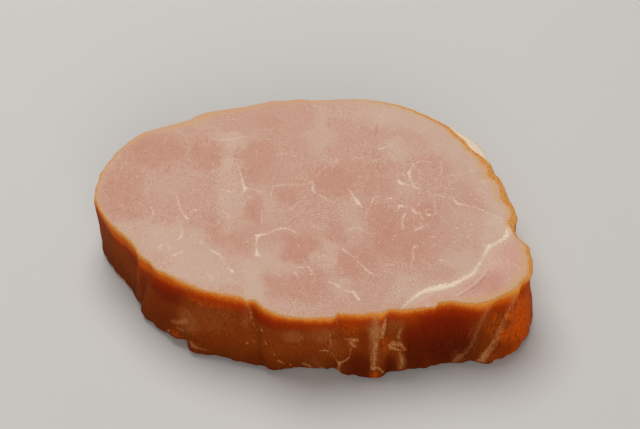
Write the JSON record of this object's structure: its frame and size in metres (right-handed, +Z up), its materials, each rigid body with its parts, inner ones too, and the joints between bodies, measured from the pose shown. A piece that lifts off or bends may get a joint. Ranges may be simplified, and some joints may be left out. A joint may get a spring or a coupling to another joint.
{
  "type": "smoked pork loin steak",
  "caption": "Thick slice of smoked pork loin with a pale marbled cut face, a side muscle at one end, a fat cap and a browned smoked skin round the wall; it lies flat on a cut face.",
  "frame": {"origin": "middle of the bounding box in X and Y, on the surface that the steak lies on", "axes": "+Z up out of the upper cut face; +X along the steak towards the end with the small side muscle; +Y to the back, towards the fat cap"},
  "size_m": [0.1178, 0.0822, 0.0232],
  "materials": {
    "smoked_pork": "moist pale pink marbled meat on the two cut faces, orange to red brown smoked skin on the wall, cream fat at the back right"
  },
  "bodies": {
    "root": {"pork_loin_steak": "smoked_pork"}
  },
  "joints": []
}
